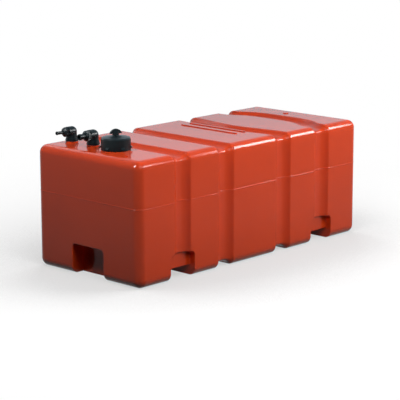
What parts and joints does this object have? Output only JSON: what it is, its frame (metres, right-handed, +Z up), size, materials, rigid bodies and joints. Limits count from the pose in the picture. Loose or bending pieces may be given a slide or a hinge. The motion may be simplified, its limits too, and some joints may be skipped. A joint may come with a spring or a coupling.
{
  "type": "outboard fuel tank",
  "caption": "Long low moulded fuel tank with ring grooves, strap channels, end hand recesses, a vented screw cap, and fuel draw and breather elbows that swivel.",
  "frame": {"origin": "middle of the tank's underside, on the surface it stands on", "axes": "+X along the tank, away from the end with the cap and fittings; +Y from the cap towards the fittings; +Z up"},
  "size_m": [0.8, 0.35, 0.3499],
  "materials": {
    "tank_plastic": "smooth glossy orange-red moulded plastic",
    "fitting_plastic": "satin black moulded plastic",
    "seal_rubber": "dull black rubber",
    "slip_plastic": "thin natural-coloured plastic",
    "pickup_plastic": "natural-coloured plastic"
  },
  "bodies": {
    "tank": {"tank_shell": "tank_plastic", "draw_gland": "fitting_plastic", "draw_gland_gasket": "seal_rubber", "breather_gland": "fitting_plastic", "breather_gland_gasket": "seal_rubber", "pickup_tube": "pickup_plastic", "pickup_strainer": "pickup_plastic"},
    "cap_lifter": {"cap_gasket": "seal_rubber"},
    "cap_riser": {"cap_slip_washer": "slip_plastic"},
    "cap": {"filler_cap": "fitting_plastic"},
    "vent_riser": {"cap_vent_seal": "seal_rubber"},
    "vent_knob": {"cap_vent_screw": "fitting_plastic"},
    "draw_swivel": {"draw_elbow": "fitting_plastic", "draw_o_ring": "seal_rubber", "draw_union_nut": "fitting_plastic", "draw_hose_tail": "fitting_plastic", "draw_tail_washer": "seal_rubber"},
    "breather_swivel": {"breather_elbow": "fitting_plastic", "breather_o_ring": "seal_rubber", "breather_union_nut": "fitting_plastic", "breather_hose_tail": "fitting_plastic", "breather_tail_washer": "seal_rubber"}
  },
  "joints": [
    {"name": "cap_lift_off", "type": "slide", "parent": "tank", "child": "cap_lifter", "axis": [0, 0, 1], "range_m": [0, 0.06]},
    {"name": "cap_rise", "type": "slide", "parent": "cap_lifter", "child": "cap_riser", "axis": [0, 0, 1], "range_m": [0, 0.0076]},
    {"name": "cap_turn", "type": "hinge", "parent": "cap_riser", "child": "cap", "pos_m": [-0.32, -0.018, 0.326], "axis": [0, 0, 1], "range_deg": [0, 540]},
    {"name": "vent_rise", "type": "slide", "parent": "cap", "child": "vent_riser", "axis": [0, 0, 1], "range_m": [0, 0.00302]},
    {"name": "vent_turn", "type": "hinge", "parent": "vent_riser", "child": "vent_knob", "pos_m": [-0.32, -0.018, 0.3353], "axis": [0, 0, 1], "range_deg": [0, 540]},
    {"name": "draw_swivel_turn", "type": "hinge", "parent": "tank", "child": "draw_swivel", "pos_m": [-0.32, 0.1355, 0.3105], "axis": [0, 0, 1], "range_deg": [-120, 35]},
    {"name": "breather_swivel_turn", "type": "hinge", "parent": "tank", "child": "breather_swivel", "pos_m": [-0.32, 0.0605, 0.3105], "axis": [0, 0, 1], "range_deg": [-60, 40]}
  ],
  "couplings": [
    {"joint": "cap_rise", "follows": "cap_turn", "m_per_rad": 0.00079577},
    {"joint": "vent_rise", "follows": "vent_turn", "m_per_rad": 0.00031831}
  ]
}
